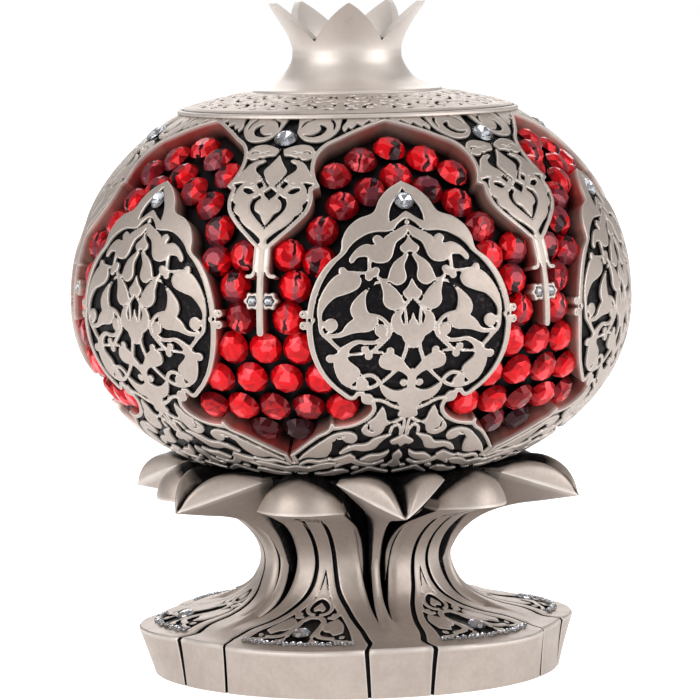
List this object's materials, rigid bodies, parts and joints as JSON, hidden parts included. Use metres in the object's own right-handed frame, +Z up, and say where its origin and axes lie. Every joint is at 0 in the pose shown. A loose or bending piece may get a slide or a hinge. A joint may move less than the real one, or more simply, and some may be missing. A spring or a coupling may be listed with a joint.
{
  "type": "pomegranate ornament",
  "caption": "Round pomegranate table ornament with a sunk bed of red stones, carved medallions and pendants, a pointed crown, and a waisted petalled stand with a broad plinth.",
  "frame": {"origin": "middle of the plinth's flat underside", "axes": "+Z up through the stem, the fruit and the crown; a medallion faces -Y and a pendant faces 30 degrees round from it"},
  "size_m": [0.1476, 0.1476, 0.176],
  "materials": {
    "silver_casting": "cast resin in warm champagne-silver metallic paint, satin, recesses blackened, raised edges worn brighter",
    "clear_crystal": "clear faceted flat-backed stone",
    "red_stone": "ruby red faceted flat-backed stone with a foiled back"
  },
  "bodies": {
    "root": {"stand": "silver_casting", "fruit": "silver_casting", "cap": "silver_casting", "crystal_medallion_1": "clear_crystal", "crystal_medallion_2": "clear_crystal", "crystal_medallion_3": "clear_crystal", "crystal_medallion_4": "clear_crystal", "crystal_medallion_5": "clear_crystal", "crystal_medallion_6": "clear_crystal", "crystal_pendant_1": "clear_crystal", "crystal_pendant_2": "clear_crystal", "crystal_pendant_3": "clear_crystal", "crystal_pendant_4": "clear_crystal", "crystal_pendant_5": "clear_crystal", "crystal_pendant_6": "clear_crystal", "crystal_foot_1": "clear_crystal", "crystal_foot_2": "clear_crystal", "crystal_foot_3": "clear_crystal", "crystal_foot_4": "clear_crystal", "crystal_foot_5": "clear_crystal", "crystal_foot_6": "clear_crystal", "crystal_rosette_1_left": "clear_crystal", "crystal_rosette_1_right": "clear_crystal", "crystal_rosette_2_left": "clear_crystal", "crystal_rosette_2_right": "clear_crystal", "crystal_rosette_3_left": "clear_crystal", "crystal_rosette_3_right": "clear_crystal", "crystal_rosette_4_left": "clear_crystal", "crystal_rosette_4_right": "clear_crystal", "crystal_rosette_5_left": "clear_crystal", "crystal_rosette_5_right": "clear_crystal", "crystal_rosette_6_left": "clear_crystal", "crystal_rosette_6_right": "clear_crystal"}
  },
  "joints": []
}
